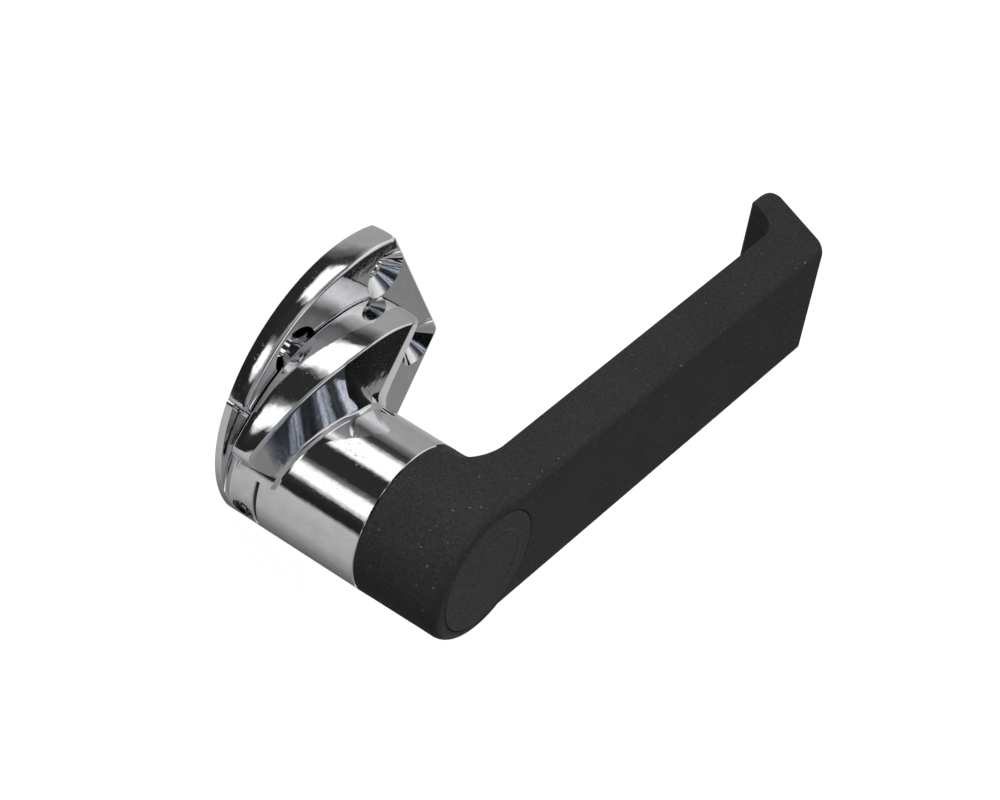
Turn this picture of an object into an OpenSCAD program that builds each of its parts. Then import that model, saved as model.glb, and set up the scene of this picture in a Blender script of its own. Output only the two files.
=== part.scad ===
// Cam latch with an eccentric base plate, a turning barrel with a spiral
// cam lobe and a moulded lever handle with a pull lip at its end.
// The barrel axis is Z, the plate's back lies on Z = 0 and the lever
// points along +X in the open position.

/* [Base plate] */
// Thickness of the flange at the round end of the plate
flange_t = 2; // [1.5:0.1:3]
// Thickness of the screw pad at its thick side
pad_t = 7.2; // [6.8:0.1:8]
// Slope of the pad's front face beyond the crease, degrees
pad_slope = 3.8; // [2:0.2:4.4]
// Direction of the crease where the pad starts to slope, degrees
pad_crease_angle = 78; // [74:1:82]
// Direction in which the pad ends over the round end, degrees
pad_end_angle = 130; // [126:1:132]
// Distance of the plate arc's centre from the barrel axis
plate_shift = 20.3; // [19:0.1:21]
// Direction of the plate arc's centre from the barrel axis, degrees
plate_shift_angle = 33; // [31:1:35]
// Distance of the long straight edge from the barrel axis
edge_a_dist = 50.2; // [49.4:0.2:52]
// Distance of the short straight edge from the barrel axis
edge_b_dist = 43.6; // [42:0.2:46]
// Half angle between the two straight edges' normals, degrees
edge_half_angle = 30; // [29:0.5:31]
// Corner radius of the plate outline
plate_corner_r = 1.5; // [1:0.1:2]

/* [Screw holes] */
// Diameter of the fixing screw holes
screw_hole_d = 6.4; // [5.4:0.1:6.6]
// Diameter of the countersinks at the face
sink_d = 13.2; // [12:0.1:13.4]
// Full angle of the countersinks, degrees
sink_angle = 90; // [82:1:92]
// Distance of the two edge holes from the long straight edge
edge_hole_inset = 7.3; // [7.1:0.1:8]
// Place of the upper edge hole along the long edge
hole_1_along = 21.6; // [20:0.2:23]
// Place of the lower edge hole along the long edge
hole_2_along = -16.4; // [-18:0.2:-15]
// Distance of the third hole from the barrel axis
hole_3_r = 34.8; // [34:0.2:36]
// Direction of the third hole from the barrel axis, degrees
hole_3_angle = 99; // [97:0.5:101]

/* [Collar] */
// Outer diameter of the fixed collar and of the turning barrel
barrel_d = 40; // [38:0.5:41]
// Height of the collar above the plate's back
collar_h = 9.9; // [9.6:0.1:10.5]
// Fillet between the collar and the flange
collar_fillet_r = 1.5; // [0.8:0.1:2]
// Diameter of the bore that holds the bearing bush
bush_bore_d = 29.2; // [28:0.2:30]
// Width of the seat for the washers and the ring around the spigot
ring_seat_w = 4.4; // [3.9:0.1:4.6]
// Depth of the counterbore in the plate's back
ring_bore_depth = 3.2; // [3:0.1:3.6]

/* [Bearing bush] */
// Wall of the bearing bush
bush_wall = 1.55; // [1.2:0.05:2]
// Thickness of the bush flange that shows as the dark joint
bush_flange_t = 0.8; // [0.5:0.1:1]
// How far the bush flange stays inside the barrel's surface
bush_flange_inset = 0.5; // [0.3:0.1:1]

/* [Limit screw] */
// Direction of the limit screw's hole, degrees
limit_angle = 201; // [195:1:205]
// Height of the limit screw's axis above the plate's back
limit_z = 6.35; // [6.3:0.05:6.6]
// Diameter of the open mouth of the limit screw's hole
limit_mouth_d = 6.2; // [5.6:0.1:6.4]
// Depth of the open mouth of the limit screw's hole
limit_mouth_depth = 1.6; // [1.2:0.1:2]
// Thread diameter of the limit screw
limit_screw_d = 5; // [4:0.5:5]
// Diameter of the limit screw's dog point
limit_dog_d = 3.4; // [2.8:0.1:3.6]
// Depth of the stop groove in the rotor's spigot
stop_groove_depth = 2.6; // [2:0.1:3]
// Play of the dog in the groove's width
stop_groove_play = 0.3; // [0.2:0.05:0.4]
// Turn of the lever from open to latched, degrees
lever_travel = 90; // [60:5:100]

/* [Rotor] */
// Length of the visible barrel above the joint
barrel_len = 29.8; // [26:0.2:34]
// Chamfer at the barrel's front edge
barrel_chamfer = 0.5; // [0.3:0.1:1]
// Wall of the cored barrel
barrel_wall = 4; // [3:0.5:5]
// Height of the solid root below the barrel's core
core_floor = 7; // [6:0.5:10]
// Width across the square drive boss
boss_w = 17; // [15:0.5:17.5]
// Height of the square drive boss above the barrel
boss_h = 12; // [9:0.5:13]
// Distance of the spigot's end from the plate's back
spigot_end = 0.5; // [0.4:0.1:0.8]

/* [Cam lobe] */
// Radius of the lobe's eccentric edge
lobe_edge_r = 36.1; // [35.5:0.1:36.2]
// Distance of the lobe edge's centre from the barrel axis
lobe_shift = 9.6; // [9:0.1:9.8]
// Direction of the lobe edge's centre, degrees
lobe_shift_angle = 9.5; // [8:0.5:11]
// Distance of the lobe's straight flank line from the barrel axis
flank_dist = 12.3; // [12:0.1:13.5]
// Direction of the flank line's normal, degrees
flank_angle = -22.9; // [-25:0.1:-21]
// Height of the lobe's flat front face above the plate's back
lobe_front_z = 19.7; // [18.5:0.1:21]
// Height where the lobe's front meets the barrel at its thick end
lobe_root_z = 22.4; // [21:0.1:24]
// Gap between the lobe and the pad's front face
lobe_gap = 0.35; // [0.3:0.05:0.5]
// Distance of the front's crease line from the barrel axis
crease_dist = 18.1; // [17.6:0.1:18.6]
// Direction of the crease line's normal, degrees
crease_angle = 32.4; // [31:0.1:34]
// Sideways slope of the front beside the flank
flank_slope = 0.22; // [0.1:0.01:0.26]
// Direction in which the lobe's front starts to fall, degrees
fall_angle = 84; // [80:1:88]
// Fall of the lobe's outer ridge for each degree
ridge_fall = 0.161; // [0.15:0.001:0.165]
// Fall of the lobe's root line for each degree
root_fall = 0.085; // [0.075:0.001:0.09]
// Direction of the lobe's rounded tail, degrees
tail_angle = 146; // [144:1:148]
// Turn over which the tail's end rounds in, degrees
tail_turn = 9; // [8:0.5:10]
// Direction in which the tail's thin skirt ends, degrees
skirt_angle = 164; // [160:1:166]
// Thickness of the tail's skirt outside the barrel's surface
skirt_t = 0.9; // [0.8:0.1:1.2]
// Gap between the lobe's inside and the collar
lobe_bore_gap = 0.4; // [0.3:0.05:0.6]
// Step down of the tail's underside behind the pad's end
tail_drop = 1.5; // [1.2:0.1:1.6]
// Extra slope of the tail's underside behind the pad's end, degrees
tail_slope = 3; // [2:0.1:4]

/* [Washers and ring] */
// Thickness of the thrust washer
thrust_t = 0.8; // [0.6:0.1:1]
// Thickness of the pressed wave washer
wave_t = 0.4; // [0.3:0.1:0.5]
// Thickness of the retaining ring
ring_t = 1; // [0.8:0.1:1.2]
// Depth of the retaining ring's groove
ring_groove_depth = 1.1; // [0.9:0.1:1.4]
// Opening of the retaining ring
ring_opening = 3.2; // [2.5:0.1:4]

/* [Lever handle] */
// Height of the handle's hub along the axis
hub_h = 24.3; // [23:0.1:27]
// Diameter of the hub at its front
hub_front_d = 39.6; // [38.6:0.1:40]
// Width of the lever
lever_w = 36.4; // [33:0.2:37.6]
// Thickness of the lever
lever_t = 13.5; // [12.5:0.1:14]
// Distance from the axis to the lever's front end edge
lever_len = 140.6; // [120:0.2:150]
// Rounding of the front edges
front_edge_r = 3; // [2:0.1:3.4]
// Fillet under the lever at the hub
hub_flare_r = 7; // [5:0.5:8]
// Thickness of the pull lip
lip_t = 8.1; // [7:0.1:9]
// Lean of the pull lip away from the axis, degrees
lip_angle = 24.9; // [20:0.1:28]
// Height of the lip's end above the barrel's front edge
lip_end_z = -0.5; // [-3:0.1:4]
// Fillet between the lever and the lip inside
lip_fillet_r = 9; // [6:0.5:10]
// Rounding of the lip's side corners
lip_corner_r = 3; // [2:0.1:4]

/* [Handle fastening] */
// Clearance around the square boss in the handle
boss_clearance = 0.1; // [0.05:0.05:0.2]
// Thickness of the web that the screw clamps
web_t = 4; // [3:0.2:5]
// Diameter of the handle screw
handle_screw_d = 8; // [6:1:8]
// Depth of thread in the rotor below the boss top
handle_thread_len = 22; // [16:1:26]
// Diameter of the handle screw's head
handle_head_d = 14; // [12:0.5:15]
// Height of the handle screw's head
handle_head_h = 3.6; // [3:0.1:3.8]
// Diameter of the handle washer
handle_washer_d = 23; // [20:0.5:24]
// Thickness of the handle washer
handle_washer_t = 1.6; // [1.2:0.1:2]

/* [Hub cap] */
// Diameter of the round cap in the hub's front
cap_d = 32.4; // [30:0.1:33]
// Thickness of the cap's disc
cap_t = 2; // [1.6:0.1:2.4]
// Visible gap around the cap
cap_gap = 0.3; // [0.2:0.05:0.4]
// Length of the cap's rim below its disc
cap_rim_len = 2; // [1.5:0.1:2.5]
// Thickness of the cap's rim
cap_rim_t = 1.6; // [1.2:0.1:2]

/* [Fits] */
// Radial clearance of the running fits
run_fit = 0.05; // [0.03:0.01:0.08]
// Radial clearance of screws, washers and rings
loose_fit = 0.15; // [0.1:0.05:0.2]
// Radial clearance of a screw thread in its hole
thread_fit = 0.02; // [0.01:0.01:0.04]

/* [Hidden] */
$fn = 96;
eps = 0.01;
far = 120;

barrel_r = barrel_d / 2;
plate_arc_r = barrel_r + plate_shift;
joint_z = collar_h + bush_flange_t;
barrel_top = joint_z + barrel_len;
handle_top = barrel_top + hub_h;
lever_back = handle_top - lever_t;

bush_r = bush_bore_d / 2;
bush_bore_r = bush_r - bush_wall;
spigot_r = bush_bore_r - run_fit;
ring_bore_r = spigot_r + ring_seat_w;
ring_seat_z = ring_bore_depth - thrust_t - wave_t;
core_r = barrel_r - barrel_wall;
post_r = boss_w / 2 * sqrt(2) - 0.6;

limit_outer = barrel_r - limit_mouth_depth;
limit_shoulder = spigot_r + 0.4;
limit_tip = spigot_r - stop_groove_depth + stop_groove_play;

lobe_back = pad_t + lobe_gap;
skirt_r = barrel_r + skirt_t;
lobe_bore_r = barrel_r + lobe_bore_gap;
root_r = barrel_r - 2;
fillet_r = 1.6;
lobe_start = flank_angle + acos(flank_dist / (barrel_r - 0.8));
tip_angle = 50;
tip_round = 1.5;

boss_top = barrel_top + boss_h;
web_low = boss_top + 0.4;
web_top = web_low + web_t;
cap_seat = handle_top - cap_t - cap_rim_len;
cap_r = cap_d / 2;

screw_r = screw_hole_d / 2;
sink_r = sink_d / 2;
sink_depth = (sink_r - screw_r) / tan(sink_angle / 2);

// the point at a distance and direction from the barrel axis
function polar(r, a) = [r * cos(a), r * sin(a)];

// the four places along and beside the long straight edge
function edge_point(along, inset) =
    polar(edge_a_dist - inset, edge_half_angle) + polar(along, edge_half_angle + 90);

// front height of the pad at a point
function pad_z(p) =
    pad_t - tan(pad_slope)
        * max(0, p[1] * cos(pad_crease_angle) - p[0] * sin(pad_crease_angle));

holes = [edge_point(hole_1_along, edge_hole_inset),
    edge_point(hole_2_along, edge_hole_inset),
    polar(hole_3_r, hole_3_angle)];

// the half plane on the axis side of a straight edge
module inside_edge(dist, angle) {
    rotate(angle)
        translate([dist - 2 * far, -far])
            square([2 * far, 2 * far]);
}

// eccentric disc cut by the straight edges, with the round end about the axis
module plate_outline() {
    circle(barrel_r);
    difference() {
        intersection() {
            translate(polar(plate_shift, plate_shift_angle))
                circle(plate_arc_r, $fn = 180);
            inside_edge(edge_a_dist, edge_half_angle);
            inside_edge(edge_b_dist, -edge_half_angle);
            inside_edge(barrel_r, -90);
        }
        polygon([[0, 0], polar(far, plate_shift_angle + 180), [-far, -far], [0, -far]]);
    }
}

// the part of the plan that carries the thick pad
module pad_sector() {
    polygon([[0, 0], polar(far, -60), polar(1.6 * far, 0), polar(1.6 * far, 45),
        polar(1.6 * far, 90), polar(far, pad_end_angle)]);
}

// everything in front of the sloping part of the pad
module above_pad_slope() {
    rotate([0, 0, pad_crease_angle])
        translate([0, 0, pad_t])
            rotate([-pad_slope, 0, 0])
                translate([-far, 0, 0])
                    cube([2 * far, far, far]);
}

// countersunk hole whose cone opens at the pad's own height
module screw_hole(p) {
    top = pad_z(p);
    translate([p[0], p[1], -1]) {
        cylinder(r = screw_r, h = pad_t + 2);
        translate([0, 0, 1 + top - sink_depth])
            cylinder(r1 = screw_r, r2 = sink_r + 1.2 * tan(sink_angle / 2),
                h = sink_depth + 1.2);
    }
}

// radial placing of the limit screw
module at_limit_screw() {
    translate([0, 0, limit_z])
        rotate([0, 90, limit_angle])
            children();
}

module base_plate() {
    color([0.78, 0.79, 0.8])
        difference() {
            union() {
                linear_extrude(flange_t)
                    plate_outline();
                difference() {
                    linear_extrude(pad_t)
                        intersection() {
                            plate_outline();
                            pad_sector();
                        }
                    above_pad_slope();
                }
                cylinder(r = barrel_r, h = collar_h);
                intersection() {
                    rotate_extrude()
                        difference() {
                            translate([barrel_r - 1, flange_t - 1])
                                square([collar_fillet_r + 1, collar_fillet_r + 1]);
                            translate([barrel_r + collar_fillet_r, flange_t + collar_fillet_r])
                                circle(collar_fillet_r, $fn = 48);
                        }
                    linear_extrude(pad_t)
                        plate_outline();
                }
            }
            translate([0, 0, -1])
                cylinder(r = bush_r, h = collar_h + 2);
            translate([0, 0, -1])
                cylinder(r = ring_bore_r, h = ring_bore_depth + 1);
            for (p = holes)
                screw_hole(p);
            at_limit_screw() {
                cylinder(d = limit_screw_d, h = barrel_r + 5);
                translate([0, 0, barrel_r - limit_mouth_depth])
                    cylinder(d = limit_mouth_d, h = limit_mouth_depth + 5);
            }
        }
}

module bearing_bush() {
    color([0.06, 0.06, 0.07])
        difference() {
            union() {
                translate([0, 0, ring_bore_depth])
                    cylinder(r = bush_r - thread_fit, h = collar_h - ring_bore_depth);
                translate([0, 0, collar_h])
                    cylinder(r = barrel_r - bush_flange_inset, h = bush_flange_t);
            }
            translate([0, 0, -1])
                cylinder(r = bush_bore_r, h = joint_z + 2);
            at_limit_screw()
                cylinder(d = limit_screw_d + 2 * loose_fit, h = barrel_r);
        }
}

module limit_screw() {
    color([0.2, 0.2, 0.21])
        difference() {
            at_limit_screw() {
                translate([0, 0, limit_shoulder])
                    cylinder(d = limit_screw_d - 2 * thread_fit, h = limit_outer - limit_shoulder);
                translate([0, 0, limit_tip])
                    cylinder(d = limit_dog_d, h = limit_shoulder - limit_tip + 0.1);
            }
            at_limit_screw()
                translate([0, 0, limit_outer - 2])
                    cylinder(d = limit_screw_d / 2, h = 3, $fn = 6);
        }
}

// outer radius of the lobe at a direction: the eccentric edge, the straight
// flank, and the rounded tail that ends in a thin skirt
function edge_r(a) =
    lobe_shift * cos(a - lobe_shift_angle)
        + sqrt(pow(lobe_edge_r, 2) - pow(lobe_shift * sin(a - lobe_shift_angle), 2));
function flank_r(a) =
    a < 66 ? flank_dist / cos(a - flank_angle) : far;
function soft_min(p, q, k) = p > q + 12 ? q : q > p + 12 ? p
    : -k * ln(exp(-p / k) + exp(-q / k));
function lobe_r(a) =
    a <= tail_angle ? soft_min(edge_r(a), flank_r(a), tip_round)
    : a >= tail_angle + tail_turn ? skirt_r
    : skirt_r + (edge_r(a) - skirt_r) * sqrt(1 - pow((a - tail_angle) / tail_turn, 2));

// height of the lobe's ridge and of its root line on the barrel
function ridge_z(a) = lobe_front_z - ridge_fall * max(0, a - fall_angle);
function root_z(a) =
    lobe_root_z - root_fall * max(0, a - fall_angle) - 0.05 * max(0, 60 - a);

// radius inside which the flat front of the lobe climbs to the root
function climb_r(a) =
    a >= crease_angle + 64 ? edge_r(a)
    : min(edge_r(a), max(barrel_r + fillet_r, crease_dist / cos(a - crease_angle)));

// height of the lobe's front at a radius and direction
function front_z(r, a) =
    let (top = ridge_z(a) - flank_slope * r * sin(max(0, 57 - a)))
    r >= climb_r(a) ? top
    : top + (root_z(a) - top) * (climb_r(a) - r) / (climb_r(a) - barrel_r);

// directions of the columns, closer together at the tip and at the tail's end
lobe_dirs = concat(
    [for (i = [0:3]) lobe_start + (tip_angle - 5 - lobe_start) * i / 4],
    [for (d = [-5:1:5]) tip_angle + d],
    [for (i = [1:22]) tip_angle + 5 + (tail_angle - tip_angle - 5) * i / 22],
    [for (i = [1:8]) tail_angle + tail_turn * i / 8],
    [skirt_angle]);
lobe_n = len(lobe_dirs);

// radii of a column's rings: from inside the barrel up to the crease, then
// over the flat to the ridge
climb_rings = 5;
flat_rings = 2;
function ring_radii(a) =
    let (knee = min(climb_r(a), root_r + 0.85 * (lobe_r(a) - root_r)))
    concat([for (i = [0:climb_rings - 1]) root_r + (knee - root_r) * i / climb_rings],
        [for (i = [0:flat_rings]) knee + (lobe_r(a) - knee) * i / flat_rings]);

// one column of points: the inner edge, the front from root to ridge, the foot
function lobe_column(a) = concat(
    [concat(polar(root_r, a), [0])],
    [for (r = ring_radii(a)) concat(polar(r, a), [front_z(r, a)])],
    [concat(polar(lobe_r(a), a), [0])]);
column_n = climb_rings + flat_rings + 3;

// solid sector of the lobe from the plate level up to its front
module lobe_blank() {
    points = [for (a = lobe_dirs) each lobe_column(a)];
    sides = [for (i = [0:lobe_n - 2]) for (j = [0:column_n - 1])
        let (k = (j + 1) % column_n, p = i * column_n, q = p + column_n)
        each [[p + j, q + j, q + k], [p + j, q + k, p + k]]];
    polyhedron(points, concat(sides, [[for (j = [0:column_n - 1]) j]],
        [[for (j = [column_n - 1:-1:0]) (lobe_n - 1) * column_n + j]]), convexity = 6);
}

module cam_lobe() {
    difference() {
        lobe_blank();
        difference() {
            translate([-far, -far, -1])
                cube([2 * far, 2 * far, lobe_back + 1]);
            lobe_sloped_zone();
        }
        translate([0, 0, -1])
            cylinder(r = lobe_bore_r, h = joint_z + 1);
    }
}

// the space above a plane that slopes down past a radial line
module above_slope(angle, gap, z, slope) {
    intersection() {
        rotate([0, 0, angle])
            translate([0, gap, z])
                rotate([-slope, 0, 0])
                    translate([-far, 0, 0])
                        cube([2 * far, far, far]);
        translate([-far, -far, 0])
            cube([2 * far, 2 * far, lobe_back + 1]);
    }
}

// the wedges that the sloping underside adds below the flat one
module lobe_sloped_zone() {
    above_slope(pad_crease_angle, 0, lobe_back, pad_slope);
    above_slope(pad_end_angle, lobe_gap, lobe_back - tail_drop, pad_slope + tail_slope);
}

// partial groove in the spigot that lets the limit screw's dog run its travel
module stop_groove() {
    w = limit_dog_d + 2 * stop_groove_play;
    half = asin(w / 2 / (spigot_r - stop_groove_depth / 2));
    rotate([0, 0, limit_angle - lever_travel - half])
        rotate_extrude(angle = lever_travel + 2 * half)
            translate([spigot_r - stop_groove_depth, limit_z - w / 2])
                square([stop_groove_depth + 1, w]);
}

module rotor_cam() {
    color([0.8, 0.81, 0.82])
        difference() {
            union() {
                translate([0, 0, joint_z])
                    cylinder(r = barrel_r, h = barrel_len - barrel_chamfer);
                translate([0, 0, barrel_top - barrel_chamfer])
                    cylinder(r1 = barrel_r, r2 = barrel_r - barrel_chamfer, h = barrel_chamfer);
                translate([0, 0, spigot_end])
                    cylinder(r = spigot_r, h = joint_z - spigot_end + 1);
                translate([-boss_w / 2, -boss_w / 2, barrel_top - 1])
                    cube([boss_w, boss_w, boss_h + 1]);
                cam_lobe();
            }
            difference() {
                translate([0, 0, joint_z + core_floor])
                    cylinder(r = core_r, h = barrel_len);
                translate([0, 0, joint_z])
                    cylinder(r = post_r, h = barrel_len);
                translate([-boss_w / 2, -boss_w / 2, barrel_top - 1])
                    cube([boss_w, boss_w, boss_h + 1]);
            }
            translate([0, 0, boss_top - handle_thread_len])
                cylinder(d = handle_screw_d, h = handle_thread_len + 1);
            difference() {
                translate([0, 0, ring_seat_z - ring_t])
                    cylinder(r = spigot_r + 1, h = ring_t);
                translate([0, 0, ring_seat_z - ring_t - 1])
                    cylinder(r = spigot_r - ring_groove_depth, h = ring_t + 2);
            }
            stop_groove();
        }
}

module flat_ring(r_out, r_in, z, t) {
    translate([0, 0, z])
        difference() {
            cylinder(r = r_out, h = t);
            translate([0, 0, -1])
                cylinder(r = r_in, h = t + 2);
        }
}

module thrust_washer() {
    color([0.66, 0.66, 0.66])
        flat_ring(ring_bore_r - loose_fit * 2, spigot_r + loose_fit,
            ring_bore_depth - thrust_t, thrust_t);
}

module wave_washer() {
    color([0.5, 0.5, 0.52])
        flat_ring(ring_bore_r - loose_fit * 4, spigot_r + loose_fit, ring_seat_z, wave_t);
}

module retaining_ring() {
    color([0.35, 0.35, 0.37])
        difference() {
            flat_ring(ring_bore_r - loose_fit * 4, spigot_r - ring_groove_depth + thread_fit,
                ring_seat_z - ring_t, ring_t);
            rotate([0, 0, 90])
                translate([0, -ring_opening / 2, -1])
                    cube([barrel_r, ring_opening, ring_bore_depth + 2]);
        }
}

lip_dir = [sin(lip_angle), -cos(lip_angle)];
lip_norm = [-cos(lip_angle), -sin(lip_angle)];
lip_low = barrel_top + lip_end_z;
lip_r = lip_t / 2;
lip_run = (handle_top - lip_low - lip_r) / cos(lip_angle);
lip_mid = [lever_len, handle_top] + lip_norm * lip_r + lip_dir * (lip_run - lip_r * tan(lip_angle));

// side view of the lever: the bar, the leaning lip with its round end and
// the fillet inside the bend
module lever_side() {
    knee = [lever_len, handle_top] + lip_norm * lip_t;
    inner_x = knee[0] + (knee[1] - lever_back) * tan(lip_angle);
    f = lip_fillet_r * tan((90 - lip_angle) / 2);
    polygon([[0, lever_back], [0, handle_top], [lever_len, handle_top],
        [lever_len + lever_t * tan(lip_angle), lever_back]]);
    polygon([[lever_len, handle_top], lip_mid - lip_norm * lip_r, lip_mid + lip_norm * lip_r,
        knee]);
    translate(lip_mid)
        circle(lip_r, $fn = 64);
    difference() {
        polygon([[inner_x - f, lever_back + 1], [inner_x - f, lever_back],
            [inner_x, lever_back] + lip_dir * f, [inner_x + 2, lever_back]]);
        translate([inner_x - f, lever_back - lip_fillet_r])
            circle(lip_fillet_r, $fn = 96);
    }
}

// end view of the lever: full width with rounded front edges and lip corners
module lever_end() {
    w = lever_w / 2;
    z0 = lip_low;
    hull() {
        for (s = [-1, 1]) {
            translate([s * (w - front_edge_r), handle_top - front_edge_r])
                circle(front_edge_r, $fn = 32);
            translate([s * (w - lip_corner_r), z0 + lip_corner_r])
                circle(lip_corner_r, $fn = 32);
        }
    }
}

module lever_bar() {
    intersection() {
        rotate([90, 0, 0])
            translate([0, 0, -far])
                linear_extrude(2 * far)
                    lever_side();
        rotate([90, 0, 90])
            linear_extrude(2 * far)
                lever_end();
    }
}

module hub_body() {
    r0 = barrel_r;
    r1 = hub_front_d / 2;
    rotate_extrude() {
        polygon([[0, barrel_top], [r0, barrel_top], [r1, handle_top - front_edge_r],
            [r1 - front_edge_r, handle_top - front_edge_r], [r1 - front_edge_r, handle_top],
            [0, handle_top]]);
        translate([r1 - front_edge_r, handle_top - front_edge_r])
            intersection() {
                circle(front_edge_r, $fn = 48);
                square(front_edge_r + 1);
            }
    }
}

// fillet ring under the bar where it leaves the hub
module hub_flare() {
    intersection() {
        rotate_extrude()
            difference() {
                translate([barrel_r - 2, lever_back - hub_flare_r])
                    square([hub_flare_r + 2, hub_flare_r + 1]);
                translate([barrel_r + hub_flare_r, lever_back - hub_flare_r])
                    circle(hub_flare_r, $fn = 96);
            }
        translate([0, -lever_w / 2, lever_back - hub_flare_r - 1])
            cube([barrel_r + hub_flare_r + 1, lever_w, hub_flare_r + 2]);
    }
}

module lever_handle() {
    color([0.13, 0.13, 0.13])
        difference() {
            union() {
                hub_body();
                hub_flare();
                lever_bar();
            }
            translate([-boss_w / 2 - boss_clearance, -boss_w / 2 - boss_clearance, barrel_top - 1])
                cube([boss_w + 2 * boss_clearance, boss_w + 2 * boss_clearance,
                    web_low - barrel_top + 1]);
            translate([0, 0, web_low - 1])
                cylinder(d = handle_screw_d + 4 * loose_fit, h = web_t + 2);
            translate([0, 0, web_top])
                cylinder(d = handle_washer_d + 4 * loose_fit, h = hub_h);
            translate([0, 0, cap_seat])
                cylinder(r = cap_r + cap_gap, h = hub_h);
        }
}

module handle_washer() {
    color([0.62, 0.62, 0.63])
        flat_ring(handle_washer_d / 2, handle_screw_d / 2 + loose_fit, web_top, handle_washer_t);
}

module handle_screw() {
    head_z = web_top + handle_washer_t;
    tip_z = boss_top - handle_thread_len + 2;
    color([0.3, 0.3, 0.31])
        difference() {
            union() {
                translate([0, 0, tip_z])
                    cylinder(d = handle_screw_d - 2 * thread_fit, h = head_z - tip_z + 0.5);
                translate([0, 0, head_z])
                    cylinder(d = handle_head_d, h = handle_head_h);
            }
            translate([0, 0, head_z + 1])
                cylinder(d = handle_screw_d * 0.72, h = handle_head_h, $fn = 6);
        }
}

module hub_cap() {
    color([0.17, 0.17, 0.17])
        union() {
            translate([0, 0, handle_top - cap_t])
                cylinder(r = cap_r, h = cap_t);
            flat_ring(cap_r - 0.4, cap_r - 0.4 - cap_rim_t, cap_seat, cap_rim_len + 0.5);
        }
}

base_plate();
bearing_bush();
limit_screw();
rotor_cam();
thrust_washer();
wave_washer();
retaining_ring();
lever_handle();
handle_washer();
handle_screw();
hub_cap();
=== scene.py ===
import math

import bmesh
import bpy
from mathutils import Matrix, Vector


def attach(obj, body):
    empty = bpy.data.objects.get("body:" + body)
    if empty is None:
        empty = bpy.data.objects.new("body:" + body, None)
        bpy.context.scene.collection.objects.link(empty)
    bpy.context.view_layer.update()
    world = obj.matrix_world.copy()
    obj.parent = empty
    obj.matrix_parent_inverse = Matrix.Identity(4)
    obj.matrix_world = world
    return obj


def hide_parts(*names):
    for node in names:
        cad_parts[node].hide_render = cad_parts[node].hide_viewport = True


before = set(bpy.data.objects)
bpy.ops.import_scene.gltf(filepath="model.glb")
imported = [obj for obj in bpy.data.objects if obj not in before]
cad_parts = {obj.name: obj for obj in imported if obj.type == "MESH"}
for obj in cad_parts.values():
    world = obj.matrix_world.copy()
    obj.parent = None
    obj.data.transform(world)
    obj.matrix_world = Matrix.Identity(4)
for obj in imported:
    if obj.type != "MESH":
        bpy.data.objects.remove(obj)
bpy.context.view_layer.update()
mm = 0.001
print("frame loaded:", len(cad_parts), "nodes")


# camera at the photograph's viewpoint

cameraSpec = {
    "location": (-0.46625, 0.51735, 0.3302),
    "right": (0.59522, 0.13514, 0.79212),
    "up": (0.46752, 0.74351, -0.47815),
    "back": (-0.65356, 0.65493, 0.37937),
    "lens": 115.22, "sensor": 36,
    "near": 0.05, "far": 30,
}


def addCamera(spec):
    data = bpy.data.cameras.new("latchCamera")
    data.lens = spec["lens"]
    data.sensor_width = spec["sensor"]
    data.clip_start = spec["near"]
    data.clip_end = spec["far"]
    camera = bpy.data.objects.new("latchCamera", data)
    turn = Matrix((spec["right"], spec["up"], spec["back"])).transposed()
    camera.matrix_world = Matrix.Translation(spec["location"]) @ turn.to_4x4()
    bpy.context.scene.collection.objects.link(camera)
    bpy.context.scene.camera = camera


addCamera(cameraSpec)
print("camera set")


def grey(v):
    return (v, v, v, 1)


# a socket that takes part in Python expressions

class Field:
    def __init__(self, finish, socket):
        self.finish = finish
        self.socket = socket

    def __add__(self, other):
        return self.finish.maths("ADD", self, other)

    def __radd__(self, other):
        return self.finish.maths("ADD", other, self)

    def __sub__(self, other):
        return self.finish.maths("SUBTRACT", self, other)

    def __rsub__(self, other):
        return self.finish.maths("SUBTRACT", other, self)

    def __mul__(self, other):
        return self.finish.maths("MULTIPLY", self, other)

    def __rmul__(self, other):
        return self.finish.maths("MULTIPLY", other, self)


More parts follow.
